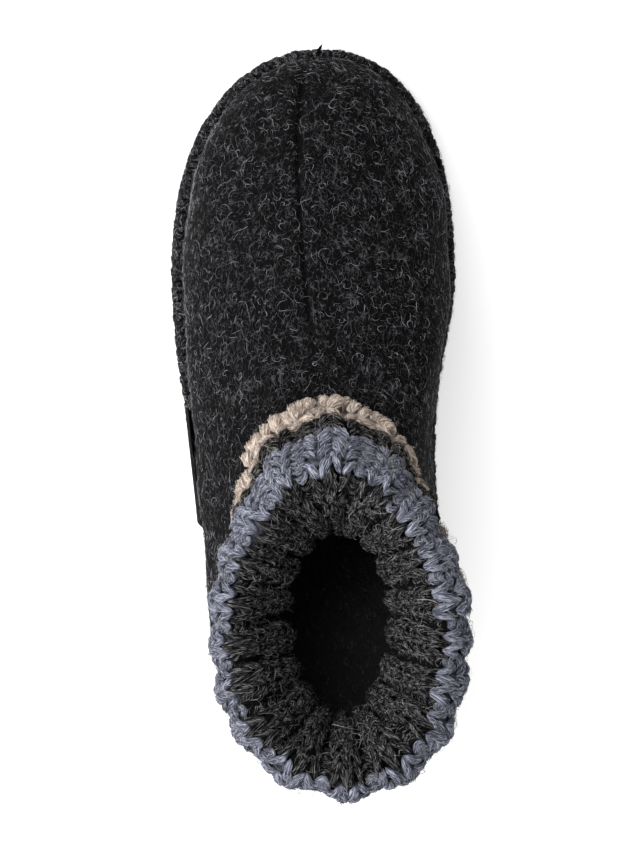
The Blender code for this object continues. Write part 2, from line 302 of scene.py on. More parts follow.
# %% [markdown]
# ## The felt shell
# Boiled wool is one thick matted cloth, sewn down the middle of the vamp, so the shell stays the
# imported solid's shape. A welded copy has its triangles paired back into quads and is subdivided
# twice, which rounds the cut edges as soft felt does. The felt is then made a little uneven, the
# sewn line down the vamp is sunk, and the wall is drawn in over the edge on the outer side and let
# out on the inner side.

# %% Soft copies of the solids
WELD_DISTANCE = 1e-6
QUAD_LIMITS = {"angle_face_threshold": 0.7, "angle_shape_threshold": 0.9}
ANY_PHASE = (0, 6.3)


def welded(node):
    """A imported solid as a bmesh, with its loose triangles joined and paired into quads."""
    shape = bmesh.new()
    shape.from_mesh(frame["nodes"][node].data)
    bmesh.ops.remove_doubles(shape, verts=shape.verts[:], dist=WELD_DISTANCE)
    bmesh.ops.join_triangles(shape, faces=shape.faces[:], **QUAD_LIMITS)
    return shape


def smooth_mesh(shape, name):
    """The bmesh as a mesh that is shaded smooth."""
    for face in shape.faces:
        face.smooth = True
    mesh = bpy.data.meshes.new(name)
    shape.to_mesh(mesh)
    shape.free()
    return mesh


def soft_copy(node, name, levels):
    """A welded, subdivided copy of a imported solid."""
    cage = smooth_mesh(welded(node), name + "_cage")
    carrier = add_object(cage.name, cage)
    rounding = carrier.modifiers.new("rounding", "SUBSURF")
    rounding.levels = levels
    ready = carrier.evaluated_get(bpy.context.evaluated_depsgraph_get())
    mesh = bpy.data.meshes.new_from_object(ready)
    bpy.data.objects.remove(carrier)
    bpy.data.meshes.remove(cage)
    mesh.name = name
    return mesh


def read_points(mesh):
    both = np.empty((2, len(mesh.vertices) * 3))
    for name, values in zip(("co", "normal"), both):
        mesh.vertices.foreach_get(name, values)
    return both.reshape(2, -1, 3)


def write_points(mesh, points):
    mesh.vertices.foreach_set("co", points.ravel())
    mesh.update()


def write_layer(mesh, name, values):
    """Keeps one number for each point, which a finish can read."""
    mesh.attributes.new(name, "FLOAT", "POINT").data.foreach_set("value", values)


def waves(points, count, lengths):
    """A smooth unevenness between about -1 and 1, summed from seeded waves of many directions."""
    total = np.zeros(len(points))
    for _ in range(count):
        direction = unit(chance.normal(size=3))
        length = chance.uniform(*lengths)
        total += np.sin(points @ direction * 2 * math.pi / length + chance.uniform(*ANY_PHASE))
    return total / math.sqrt(count)


# %% Outer face and middle seam
FOOT_LINE = np.array([2.25 * MM, 0.0, 30 * MM])
FOOT_LINE_END = 90 * MM
# The seam's line along and across the foot, and the draw of the wall, are in millimetres
SEAM_LINE = {
    "y": (26.0, 48.5, 68.9, 86.8, 102.1, 114.4, 123.4, 128.7, 130.2),
    "x": (-0.4, -2.6, -3.8, -4.2, -3.9, -2.9, -1.5, 0.2, 2.2),
}
DRAWN_IN = {"x": (-20.0, 20.0), "by": (1.3, -0.8)}
SEAM_FADE = (14 * MM, 38 * MM)
SEAM_WIDTH = 1.0 * MM
SEAM_EXTRA_DEPTH = 0.8 * MM
FELT_UNEVEN = 0.35 * MM
FELT_WAVES = {"count": 14, "lengths": (14 * MM, 45 * MM)}
FACES_DOWN = -0.3
FLANGE_TOP = 8.8 * MM
CREASE_WIDTH = 1.6 * MM
# How dark the crease over the flange is painted: painted shade, carried in the seam layer
CREASE_PAINTED_SHADE = 0.85
DRAWN_IN_HEIGHT = 15 * MM
DRAWN_IN_FADE = (120 * MM, 70 * MM)
TOE_SPRING = 3.5 * MM
SPRING_START = 79 * MM
SPRING_LENGTH = 55 * MM


def ramp(value, start, end):
    """0 before start, 1 past end and straight between them, whichever of the two is larger."""
    return np.clip((value - start) / (end - start), 0, 1)


def toe_spring(y):
    """How far the sole has lifted off the floor at this place along the foot."""
    return TOE_SPRING * np.clip((y - SPRING_START) / SPRING_LENGTH, 0, None) ** 2


def wall_height(points):
    """Height of points over the flange, which lifts towards the toe."""
    return points[:, 2] - FLANGE_TOP - toe_spring(points[:, 1])


def crease_strength(points):
    """1 in the crease where the wall meets the flange, fading up the wall."""
    return np.exp(-((wall_height(points) / CREASE_WIDTH) ** 2))


def drawn_in(points):
    """1 low on the wall, where the sewing pulls at the felt, fading further up and at the toe."""
    height = wall_height(points)
    rise = ramp(height, 0, CREASE_WIDTH) * ramp(height, 2 * DRAWN_IN_HEIGHT, DRAWN_IN_HEIGHT)
    return rise * ramp(points[:, 1], *DRAWN_IN_FADE)


def felt_outside(points, normals):
    """1 on the felt's outer face and 0 inside it or under its flange."""
    away = points - FOOT_LINE
    away[:, 1] = np.where(np.abs(points[:, 1]) > FOOT_LINE_END, away[:, 1], 0)
    outside = np.einsum("ij,ij->i", away, normals) > 0
    return outside * (normals[:, 2] > FACES_DOWN)


def seam_strength(points, width):
    """1 on the seam down the vamp, fading to its sides and where it ends before the cuff."""
    line = np.interp(points[:, 1] / MM, SEAM_LINE["y"], SEAM_LINE["x"]) * MM
    off_line = points[:, 0] - line
    return np.exp(-((off_line / width) ** 2)) * ramp(points[:, 1], *SEAM_FADE)


felt_mesh = soft_copy("upper", "felt_upper", levels=2)
felt_points, felt_normals = read_points(felt_mesh)
outside = felt_outside(felt_points, felt_normals)
seam = seam_strength(felt_points, SEAM_WIDTH) * outside
relief = waves(felt_points, **FELT_WAVES) * FELT_UNEVEN - seam * SEAM_EXTRA_DEPTH
draw = np.interp(felt_points[:, 0] / MM, DRAWN_IN["x"], DRAWN_IN["by"]) * MM
relief = relief - drawn_in(felt_points) * outside * draw
write_points(felt_mesh, felt_points + felt_normals * relief[:, None])
# The seam layer also holds painted shade in the crease where the wall meets the flange
write_layer(felt_mesh, "seam", np.maximum(seam, CREASE_PAINTED_SHADE * crease_strength(felt_points)))
print("felt is moved by up to", round(np.abs(relief).max() / MM, 1), "mm")

# %% [markdown]
# Felt is dark and matt, with paler fibres matted into it. The finish lays curly lines of five sizes
# over a mottled charcoal, and the same lines raise the surface. In the sewn line it stays dark. The
# crease where the wall meets the flange is darkened too, as painted shade.

# %% Felt finish
STRANDS = [
    {"scale": 310, "turn": (0.0, 0.0, 0.5), "width": 0.021, "weight": 0.80},
    {"scale": 400, "turn": (0.4, 0.0, 1.7), "width": 0.025, "weight": 0.75},
    {"scale": 520, "turn": (0.2, 0.5, 2.7), "width": 0.032, "weight": 0.70},
    {"scale": 640, "turn": (0.9, 0.1, 1.1), "width": 0.040, "weight": 0.60},
    {"scale": 820, "turn": (0.3, 0.8, 0.2), "width": 0.052, "weight": 0.50},
]
STRAND_STRETCH = (1.0, 0.55, 1.0)
GAP_SCALE = 0.62
GAP_RANGE = (0.38, 0.66)
LINT = {"scale": 1500, "detail": 3.0, "roughness": 0.6}
LINT_WEIGHT = 0.35
LINT_LESS = 0.1
MOTTLE_SCALE = 110
MOTTLE_LEAST = 0.45
MOTTLE_MORE = 1.1
SEAM_AND_CREASE_BARE = 0.75
FELT_BUMP = 0.5 * MM


def felt_finish(name, dark, pale):
    """Matted wool: lint and curly strands over a mottled ground, nearly bare on seams, with painted
    shade in the crease.
    """
    felt = Finish(name, roughness=0.95, specular=0.04)
    place = felt.place()
    fibre = felt.noise(place, **LINT) * LINT_WEIGHT - LINT_LESS
    for row in STRANDS:
        turned = felt.stretched(place, STRAND_STRETCH, row["turn"])
        lines = felt.curly(turned, row["scale"], row["width"])
        shown = felt.noise(turned, row["scale"] * GAP_SCALE, 0.0).rise(*GAP_RANGE)
        fibre = fibre + lines * shown * row["weight"]
    mottle = felt.noise(place, MOTTLE_SCALE) * MOTTLE_MORE + MOTTLE_LEAST
    # The seam layer holds the seam and the painted shade of the crease over the flange
    sewn_and_crease = felt.number("ShaderNodeAttribute", {"attribute_name": "seam"}, out="Fac")
    tone = (fibre * mottle).rise(0.0, 1.0) * (1 - sewn_and_crease * SEAM_AND_CREASE_BARE)
    felt.colour(felt.blend(tone, grey(dark), grey(pale)))
    felt.bump(fibre, FELT_BUMP)
    return felt


add_piece(felt_mesh, felt_finish("boiled_wool", dark=0.0016, pale=0.052), ["upper"])

# %% [markdown]
# ## Loose fibres on the felt
# Thousands of pale fibres lie curled on boiled wool, and they are what the eye reads as felt. A
# texture alone looks printed, so each fibre is a thin tube that wanders over the surface. They
# are spread evenly over the outer faces, by area, and every fibre has a shade of its own.


# %% Spread points over a mesh
def scatter(mesh, count, wanted):
    """Random points on the faces that wanted(centre, normal) keeps, with their normals."""
    mesh.calc_loop_triangles()
    corners = np.empty(len(mesh.loop_triangles) * 3, np.int64)
    mesh.loop_triangles.foreach_get("vertices", corners)
    points, normals = read_points(mesh)
    corners = corners.reshape(-1, 3)
    a, b, c = points[corners].swapaxes(0, 1)
    square = np.cross(b - a, c - a)
    area = np.linalg.norm(square, axis=1)
    weight = area * wanted((a + b + c) / 3, unit(square))
    chosen = chance.choice(len(corners), count, p=weight / weight.sum())
    u, v = chance.random((2, count, 1))
    u, v = np.where(u + v > 1, (1 - u, 1 - v), (u, v))
    shares = np.stack([1 - u - v, u, v], axis=1)
    place, normal = ((part[corners[chosen]] * shares).sum(axis=1) for part in (points, normals))
    return place, unit(normal)


# %% Curls of fibre
CURL_SWAY = 0.6
CURL_SWINGS = (2, 7)
CURL_ARCH = 0.7
CURL_TILT = (-0.5, 0.5)
FIBRE_SIDES = 3


def curls(places, normals, lengths, bend, lift, steps):
    """Curly paths that lie on the surface, each with its own length, bend and lift."""
    count = len(places)
    side = unit(np.cross(normals, chance.normal(size=(count, 3))))
    other = np.cross(normals, side)
    share = np.linspace(0, 1, steps)
    turn = chance.normal(0, bend, (count, 1)) * share
    sway = chance.normal(0, CURL_SWAY, (count, 1))
    heading = turn + sway * np.sin(share * chance.uniform(*CURL_SWINGS, (count, 1)))
    stride = lengths[:, None] / (steps - 1)
    run = np.cumsum([np.cos(heading) * stride, np.sin(heading) * stride], axis=2)
    x, y = (run - run.mean(axis=2, keepdims=True))[..., None]
    arch = np.sin(math.pi * share) ** CURL_ARCH
    high = lift[:, None] * (arch + chance.uniform(*CURL_TILT, (count, 1)) * (share - 0.5))
    paths = places[:, None] + x * side[:, None] + y * other[:, None]
    return paths + high[..., None] * normals[:, None]


# %% Fibre finish
FIBRE_SHADES = 2.3
SHADE_MIDDLE = (0.75, 0.25)
SHADE_BLUR = 0.14


def fibre_finish(name, dark, pale, count, bright=0.5):
    """Loose wool: each fibre has a shade of its own, and few are pale if bright is low."""
    loose = Finish(name, roughness=0.8)
    middle = np.interp(bright, (0, 1), SHADE_MIDDLE)
    shade = loose.streaks(count, FIBRE_SHADES, FIBRE_SHADES)
    shade = shade.rise(middle - SHADE_BLUR, middle + SHADE_BLUR)
    loose.colour(loose.blend(shade, dark, pale))
    return loose


def add_fibres(name, mesh, wanted, row, tint=COOL):
    """Adds fibres over a mesh; a row's length, lift and thick are the least and the most, in mm."""
    count = row["count"]
    shade = fibre_finish(name, grey(row["dark"], tint), grey(row["pale"], tint), count)
    places, normals = scatter(mesh, count, wanted)
    sizes = (chance.uniform(*row[key], count) * MM for key in ("length", "lift", "thick"))
    lengths, lifts, thick = sizes
    paths = curls(places, normals, lengths, row["bend"], lifts, row["steps"])
    add_piece(tubes(name, paths, thick[:, None], FIBRE_SIDES, normals[:, None]), shade)


# %% Fibres of the felt
FELT_FIBRES = {
    "felt_fibres_pale": {
        "dark": 0.05, "pale": 0.46, "count": 3600, "steps": 7, "bend": 3.8,
        "length": (2.0, 7.5), "lift": (0.05, 0.7), "thick": (0.030, 0.056),
    },
    "felt_fibres_grey": {
        "dark": 0.025, "pale": 0.16, "count": 8500, "steps": 5, "bend": 2.2,
        "length": (1.2, 3.8), "lift": (0.02, 0.4), "thick": (0.038, 0.068),
    },
    "felt_halo": {
        "dark": 0.05, "pale": 0.16, "count": 900, "steps": 7, "bend": 1.6,
        "length": (3.0, 6.0), "lift": (0.8, 1.8), "thick": (0.035, 0.055),
    },
}
SEAM_BARE_WIDTH = 1.2 * MM


def felt_face(points, normals):
    """Where loose fibres lie: the felt's outer face, more low on the wall and few on seams and in the
    crease.
    """
    sewn_and_crease = np.maximum(seam_strength(points, SEAM_BARE_WIDTH), crease_strength(points))
    shown = felt_outside(points, normals) * (points[:, 2] > FLANGE_TOP)
    return shown * (1 - SEAM_AND_CREASE_BARE * sewn_and_crease) * (1 + drawn_in(points))


for name, row in FELT_FIBRES.items():
    add_fibres(name, felt_mesh, felt_face, row)

# %% [markdown]
# ## Sole and insole
# Both are flat felt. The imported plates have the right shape, but cut felt has no knife edge, so
# their copies get a small bevel all round, and the same felt finish in darker shades.

# %% Sole and insole
SHARP = math.radians(45)
BEVEL = {
    "offset_type": "OFFSET", "segments": 3, "profile": 0.5, "affect": "EDGES", "material": -1,
    "clamp_overlap": True,
}
FELT_PLATES = {
    "sole": {"piece": "felt_sole", "bevel": 1.0 * MM, "dark": 0.006, "pale": 0.032},
    "insole": {"piece": "felt_insole", "bevel": 0.7 * MM, "dark": 0.030, "pale": 0.100},
}


def rounded_copy(node, name, width):
    """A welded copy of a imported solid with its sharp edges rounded."""
    shape = welded(node)
    sharp = [edge for edge in shape.edges if edge.calc_face_angle(0) > SHARP]
    bmesh.ops.bevel(shape, geom=sharp, offset=width, **BEVEL)
    return smooth_mesh(shape, name)


for node, row in FELT_PLATES.items():
    plate = rounded_copy(node, row["piece"], row["bevel"])
    add_piece(plate, felt_finish(row["piece"], row["dark"], row["pale"]), [node])

# %% [markdown]
# ## Yarn
# Wool yarn shows as streaks of fibre along its length, some dark and some catching the light. The
# streaks are noise stretched along each tube, and the darkest of them are painted shade in the grooves
# between strands. Short loose fibres stand off the yarn as fuzz.

# %% Yarn finish
YARN_STREAKS = [
    {"around": 18, "along": 1.8, "detail": 2.0, "roughness": 0.6},
    {"around": 40, "along": 3.6, "detail": 1.0},
    {"around": 1.7, "along": 1.7},
]
HEATHER_WEIGHT = 0.35
HEATHER_LESS = 0.17
MIDDLE_RANGE = (0.40, 0.60)
FINE_WEIGHT = 0.6
STREAK_WEIGHT = 0.55
PALE_RANGE = (0.58, 0.72)
FINE_BUMP = 0.5
YARN_BUMP = 0.8 * MM


def yarn_finish(name, dark, middle, pale, count):
    """Wool yarn for count joined tubes: streaks of fibre run along each length of it."""
    yarn = Finish(name, roughness=0.95, specular=0.03)
    streak, fine, heather = (yarn.streaks(count, **row) for row in YARN_STREAKS)
    # Dark streaks are painted shade in the grooves between strands; the heather is the yarn's own tone
    body = (streak + heather * HEATHER_WEIGHT - HEATHER_LESS).rise(*MIDDLE_RANGE)
    lit = (fine * FINE_WEIGHT + streak * STREAK_WEIGHT).rise(*PALE_RANGE)
    yarn.colour(yarn.blend(lit, yarn.blend(body, dark, middle), pale))
    yarn.bump(streak + fine * FINE_BUMP, YARN_BUMP)
    return yarn


# %% Fuzz on yarn
YARN_SIDES = 6
YARN_FLATNESS = 0.9
FUZZ = {
    "start": (0.02, 0.45), "run": (0.35, 0.55), "angle": (-1.2, 1.2), "off": (0.9, 1.15),
    "rise": (0, 0.8), "phase": ANY_PHASE, "swings": (3, 7),
}
FUZZ_STEPS = 5
FUZZ_STRAY = 0.5


def fuzz_along(name, paths, radii, facing, row):
    """Short curly fibres that run along lengths of yarn and stand off them at one end."""
    count = len(paths) * row["fuzz"]

    def draw(key):
        return chance.uniform(*FUZZ[key], (count, 1))

    owner = np.repeat(np.arange(len(paths)), row["fuzz"])[:, None]
    last = paths.shape[1] - 1
    share = np.linspace(0, 1, FUZZ_STEPS)[None]
    at = (draw("start") + draw("run") * share) * last
    low = np.minimum(at.astype(int), last - 1)
    part = (at - low)[..., None]
    line = paths[owner, low] * (1 - part) + paths[owner, low + 1] * part
    up = facing[owner, low]
    across = unit(np.cross(np.gradient(line, axis=1), up))
    angle = draw("angle")[..., None]
    off = radii[owner, low] * draw("off")
    rise = draw("rise") * MM * share**2
    wave = np.sin(draw("phase") + draw("swings") * share)
    sway = row["curl"] * MM * wave + chance.normal(0, FUZZ_STRAY, (count, 1)) * MM * share**2
    outward = across * np.sin(angle) + up * np.cos(angle) * YARN_FLATNESS
    line = line + outward * off[..., None] + across * sway[..., None] + up * rise[..., None]
    thick = chance.uniform(*row["thick"], (count, 1)) * MM
    return tubes(name, line, thick, FIBRE_SIDES, up)


def colours_of(row, *tones, level=1.0):
    return [grey(level, row[tone]) for tone in tones]


def add_yarn(name, paths, radii, facing, row, fuzzy=None):
    """Adds lengths of yarn to the cuff in a row's colours, and fuzz on the first fuzzy of them."""
    finish = yarn_finish(name, *colours_of(row, "dark", "middle", "pale"), len(paths))
    add_piece(tubes(name, paths, radii, YARN_SIDES, facing, YARN_FLATNESS), finish)
    fuzz = fuzz_along(name + "_fuzz", paths[:fuzzy], radii[:fuzzy], facing[:fuzzy], row)
    count = len(paths[:fuzzy]) * row["fuzz"]
    shade = fibre_finish(name + "_fuzz", *colours_of(row, "dark", "pale"), count, row["bright"])
    add_piece(fuzz, shade)


# %% Smooth curves and even steps
CURVE_FINENESS = 8


def run_along(line):
    """How far each point of a line lies from its start, measured along the line."""
    return np.concatenate([[0], np.linalg.norm(np.diff(line, axis=0), axis=1).cumsum()])


def evenly(line, values, count):
    """The values at count places that are equally spaced along a closed line."""
    run = run_along(line)
    return np.interp(np.arange(count) / count * run[-1], run, values)


def through(points, samples):
    """Smooth curves through points (curve, point, xyz), stepped evenly along their length."""
    slopes = np.gradient(points, axis=1)
    place = np.linspace(0, points.shape[1] - 1, CURVE_FINENESS * samples)
    start = np.minimum(place.astype(int), points.shape[1] - 2)
    t = (place - start)[None, :, None]
    ease = t**2 * (3 - 2 * t)
    line = points[:, start] * (1 - ease) + points[:, start + 1] * ease
    line = line + (slopes[:, start] * (1 - t) - slopes[:, start + 1] * t) * t * (1 - t)
    even, lengths = [], []
    for curve in line:
        run = run_along(curve)
        stops = np.linspace(0, run[-1], samples)
        even.append(np.stack([np.interp(stops, run, curve[:, i]) for i in range(3)], axis=1))
        lengths.append(run[-1])
    return np.array(even), np.array(lengths)


# %% [markdown]
# ## Overcast edge
# The upper's flange is sewn to the sole with wool that goes round and round the edge, and felting has
# matted it until only low bumps are left. The edge line is read from the solid: the sole is cut with
# a level plane, and the cut's points are put in order round its middle. Each wrap is a short curve
# over the flange and down the sole's side, set by a small table. Loose fibres lie over the wraps.

# %% Edge line of the sole
CUT_HEIGHT = 4.5 * MM
NEIGHBOUR = 2


def edge_line(pitch):
    """Points about a pitch apart along the sole's edge, the way along it and the way out."""
    shape = welded("sole")
    everything = shape.verts[:] + shape.edges[:] + shape.faces[:]
    plane = {"plane_co": (0, 0, CUT_HEIGHT), "plane_no": (0, 0, 1)}
    cut = bmesh.ops.bisect_plane(shape, geom=everything, **plane)["geom_cut"]
    corners = np.array([part.co[:2] for part in cut if isinstance(part, bmesh.types.BMVert)])
    from_middle = corners - corners.mean(axis=0)
    corners = corners[np.argsort(np.arctan2(*from_middle.T))]
    corners = np.roll(corners, -corners[:, 1].argmax(), axis=0)
    corners = np.vstack([corners, corners[:1]])
    shape.free()
    count = round(run_along(corners)[-1] / pitch)
    points = np.stack([evenly(corners, corners[:, i], count) for i in range(2)], axis=1)
    along = unit(np.roll(points, -NEIGHBOUR, axis=0) - np.roll(points, NEIGHBOUR, axis=0))
    out = np.stack([-along[:, 1], along[:, 0]], axis=1)
    return [np.hstack([part, np.zeros((count, 1))]) for part in (points, along, out)]


# %% Wraps
WRAP_PITCH = 2.5 * MM
WRAP_RADIUS = 1.55 * MM
WRAP_FLATNESS = 0.4
WRAP_STEPS = 11
WRAP_FAT = 0.12
WRAP_FACING_UP = 0.7
FIBRE_FREE = 3.2 * MM
UP = np.array([0.0, 0.0, 1.0])
# The course of a wrap and its strays are in millimetres
WRAP_SHIFT = 0.25
WRAP_STRAY = {"out": 0.15, "up": 0.075}
WRAP_COURSE = {
    "under the felt": {"out": -3.9, "up": -2.0, "along": 1.4},
    "inner side": {"out": -3.0, "up": -0.8, "along": 1.1},
    "top": {"out": -1.8, "up": 0.0, "along": 0.7},
    "shoulder": {"out": -0.6, "up": -0.5, "along": 0.3},
    "side": {"out": -0.1, "up": -2.3, "along": 0.0},
    "seam of the sole": {"out": -0.1, "up": -5.0, "along": -0.3},
    "foot": {"out": -0.3, "up": -6.7, "along": -0.5},
    "in the sole": {"out": -1.7, "up": -6.9, "along": -0.6},
}
EDGE_FIBRES = {
    "dark": 0.06, "pale": 0.50, "count": 3000, "steps": 5, "bend": 3.0,
    "length": (1.5, 5.0), "lift": (0.05, 0.6), "thick": (0.035, 0.065),
}


def edge_face(points, normals):
    """Where loose fibres lie on the wrapped edge: not on its underside nor close to the floor."""
    return (normals[:, 2] > FACES_DOWN) * (points[:, 2] > FIBRE_FREE)


edge, edge_along, edge_out = edge_line(WRAP_PITCH)
wrap_count = len(edge)
edge[:, 2] = FLANGE_TOP + toe_spring(edge[:, 1])
shift = chance.normal(0, WRAP_SHIFT, (wrap_count, 1))
course = []
for row in WRAP_COURSE.values():
    stray_out, stray_up = chance.normal(0, 1, (wrap_count, 2, 1)).swapaxes(0, 1)
    spot = edge_out * (row["out"] + WRAP_STRAY["out"] * stray_out)
    spot = spot + UP * (row["up"] + WRAP_STRAY["up"] * stray_up) + edge_along * (row["along"] + shift)
    course.append(edge + spot * MM)
wrap_paths, _ = through(np.stack(course, axis=1), WRAP_STEPS)
wrap_radii = WRAP_RADIUS * chance.normal(1.0, WRAP_FAT, (wrap_count, 1))
wrap_facing = edge_out[:, None] + WRAP_FACING_UP * UP
wrap_mesh = tubes("edge_wraps", wrap_paths, wrap_radii, YARN_SIDES, wrap_facing, WRAP_FLATNESS)
add_piece(wrap_mesh, felt_finish("edge_wool", dark=0.006, pale=0.15))
add_fibres("edge_fibres", wrap_mesh, edge_face, EDGE_FIBRES)
print("edge has", wrap_count, "wraps")

# %% [markdown]
# At the tip of the toe the end of the vamp's seam stands out over the edge as one small point.

# %% End of the seam
SEAM_END = [
    (2.2, 129.5, 12.6), (3.0, 131.5, 12.9), (3.7, 133.3, 12.8),
    (4.4, 134.6, 12.5), (5.2, 135.8, 12.2),
]
SEAM_END_RADIUS = 0.75 * MM
SEAM_END_TAPER = (1.1, 0.5)
end_path = np.array([SEAM_END]) * MM
end_radii = SEAM_END_RADIUS * np.linspace(*SEAM_END_TAPER, len(SEAM_END))[None]
end_mesh = tubes("seam_end", end_path, end_radii, YARN_SIDES, UP)
add_piece(end_mesh, felt_finish("seam_wool", dark=0.0016, pale=0.03))

# %% [markdown]
# ## The cuff's surface
# The cuff is a knitted tube. It comes up from inside the collar, opens like a funnel, turns over a
# crest and hangs down outside. Its shape is a short table: how far each fold lies out from the
# collar's edge and up from it, in millimetres, at the front, the sides, the back and the corners
# between them. The crest also leans to the outer side in front.

# %% Folds of the cuff
COLLAR_MIDDLE = np.array([7.25, -69.5, 0.0])
COLLAR_HALF = np.array([30.0, 45.5, 0.0])
COLLAR_HEIGHT = {"front": [91.0], "side": [84.0], "back": [88.0]}
CUFF_FOLDS = {
    "hem end": {"front": (8.0, -9.3), "side": (-2.9, -11.4), "back": (-4.2, -11.1)},
    "hem": {"front": (1.5, -6.7), "side": (-4.5, -5.2), "back": (-5.2, -4.5)},
    "hem top": {"front": (-4.9, -4.0), "side": (-6.1, 1.6), "back": (-5.8, 2.6)},
    "neck": {"front": (-10.0, 4.5), "side": (-8.5, 7.0), "back": (-8.0, 6.0)},
    "funnel": {"front": (-8.0, 12.5), "side": (-5.5, 16.0), "back": (-4.5, 15.0)},
    "crest inside": {
        "front": (-3.0, 20.5), "side": (0.5, 27.0), "back": (1.5, 25.5),
        "front corner": (-0.5, 0), "back corner": (1, 0), "lean": 0.5,
    },
    "crest": {
        "front": (4.0, 24.0), "side": (5.5, 30.5), "back": (6.5, 29.0),
        "front corner": (-2, 0), "back corner": (1.5, 0), "lean": 1.0,
    },
    "crest outside": {
        "front": (10.0, 20.5), "side": (9.8, 26.0), "back": (10.6, 24.5),
        "front corner": (-3.5, 0), "back corner": (2, 0), "lean": 1.0,
    },
    "flap": {
        "front": (19.0, 6.5), "side": (10.2, 13.0), "back": (10.6, 11.5),
        "front corner": (-3.5, 0.5), "back corner": (2, 0), "lean": 1.0, "power": 3,
    },
    "free edge": {
        "front": (27.2, -7.4), "side": (8.8, -3.5), "back": (7.6, -3.9),
        "front corner": (-5.2, 1.7), "back corner": (0.2, -0.6), "lean": 2.2, "power": 3,
    },
}
CREST_LEAN = {"front": [-2.0], "side": [0.0], "back": [1.0]}
GRID_COLUMNS = 240
GRID_ROWS = 121
KNIT_UNEVEN = 0.45 * MM


def by_turn(forward, row):
    """A fold's place at each turn round the collar, blended from front, side, back and corners."""
    forward = forward[:, None]
    side = np.asarray(row["side"], float)
    ends = np.where(forward > 0, row["front"], row["back"])
    corners = np.where(forward > 0, row.get("front corner", 0.0), row.get("back corner", 0.0))
    bend = 4 * forward**2 * (1 - forward**2)
    return side + (ends - side) * np.abs(forward) ** row.get("power", 2) + corners * bend


def collar(turns):
    """Points of the collar's edge, the way along it, the way out of it and how far forward it is."""
    angle = 2 * math.pi * turns
    sine, cosine = np.sin(angle), np.cos(angle)
    place = COLLAR_MIDDLE + COLLAR_HALF * np.stack([sine, cosine, 0 * sine], axis=1)
    along = unit(COLLAR_HALF * np.stack([cosine, -sine, 0 * sine], axis=1))
    outward = np.stack([-along[:, 1], along[:, 0], 0 * sine], axis=1)
    return place + by_turn(cosine, COLLAR_HEIGHT) * UP, along, outward, cosine


# %% Grid of the knit
FINE_TURNS = 1441
KNIT_WAVES = {"count": 12, "lengths": (16 * MM, 40 * MM)}
dense = np.linspace(0, 1, FINE_TURNS)
grid_turns = evenly(collar(dense)[0][:, :2], dense, GRID_COLUMNS)
rim, rim_along, rim_out, forward = collar(grid_turns)
folds = []
for row in CUFF_FOLDS.values():
    out, up = by_turn(forward, row).T
    lean = by_turn(forward, CREST_LEAN)[:, 0] * row.get("lean", 0.0)
    folds.append(rim + rim_out * out[:, None] + np.stack([lean, 0 * lean, up], axis=1))
knit_grid, knit_lengths = through(np.stack(folds, axis=1), GRID_ROWS)
knit_normals = unit(np.cross(rim_along[:, None], np.gradient(knit_grid, axis=1)))
knit_grid = knit_grid * MM
uneven = waves(knit_grid.reshape(-1, 3), **KNIT_WAVES).reshape(GRID_COLUMNS, GRID_ROWS, 1)
knit_grid = knit_grid + knit_normals * uneven * KNIT_UNEVEN
print("knit is", knit_lengths.min().round(1), "to", knit_lengths.max().round(1), "mm long")

nearest = kdtree.KDTree(GRID_COLUMNS * GRID_ROWS)
for number, place in enumerate(knit_grid.reshape(-1, 3)):
    nearest.insert(place, number)
nearest.balance()


def knit_share(points):
    """How far points lie from the hem, 0, to the free edge, 1, by the nearest place on the knit."""
    return np.array([nearest.find(point)[1] % GRID_ROWS / (GRID_ROWS - 1) for point in points])


# %% [markdown]
# ## Stitches
# In a two-by-two rib each ridge shows two columns of V stitches, and the columns between ridges
# show only as bars across the valley. Every V is two short lengths of yarn that lie low where they
# meet and rise in the middle. Ribs drift and rows sag a little, as in any hand-knitted tube. All
# of it is placed by rib, row and leg on the cuff's surface, so the whole knit is a few array sums.

# %% Place on the knit
RIBS = 18
KNIT_HALF = 2.3 * MM
RIB_HEIGHT = 1.5 * MM
RIDGE_STEEP = 1.8
RIDGE_FULL = 0.5
RIB_DRIFT = 0.045
ROW_SAG = 0.14
LINING_SWELL = 1.8 * MM
SWELL_FADE = (0.52, 0.28)
HALF_RIB = 0.5
DRIFTS = [{"around": 2, "along": 1.1}, {"around": 5, "along": 1.9}, {"around": 9, "along": -1.4}]
for row in DRIFTS:
    row["start"] = chance.uniform(0, 2 * math.pi)


def drift(rib, share):
    """A smooth number between about -2 and 2 that joins up round the cuff."""
    total = 0.0
    for row in DRIFTS:
        turns = row["around"] * rib / RIBS + row["along"] * share
        total = total + np.sin(2 * math.pi * turns + row["start"])
    return total


def on_knit(rib, share, height):
    """Points and normals over the knit: rib counts ridges, share runs from hem to free edge."""
    column = ((rib + RIB_DRIFT * drift(rib, share)) / RIBS % 1.0) * GRID_COLUMNS
    row = np.clip(share, 0, 1) * (GRID_ROWS - 1)
    left = np.floor(column).astype(int) % GRID_COLUMNS
    right = (left + 1) % GRID_COLUMNS
    low = np.minimum(row.astype(int), GRID_ROWS - 2)
    x = (column - np.floor(column))[..., None]
    y = (row - low)[..., None]

    def blend(grid):
        near = grid[left, low] * (1 - x) + grid[right, low] * x
        far = grid[left, low + 1] * (1 - x) + grid[right, low + 1] * x
        return near * (1 - y) + far * y

    normals = unit(blend(knit_normals))
    return blend(knit_grid) + normals * height[..., None], normals


def ridge(across):
    """Height of the ribs over the knit's middle; across is 0 on a ridge, 0.5 in a valley."""
    wave = RIDGE_STEEP * (np.cos(2 * math.pi * across) + RIDGE_FULL)
    return KNIT_HALF + RIB_HEIGHT * np.clip(wave, -1, 1)


def swell(share):
    """How much thicker the knit is inside, where the collar draws it together."""
    return LINING_SWELL * ramp(share, *SWELL_FADE)


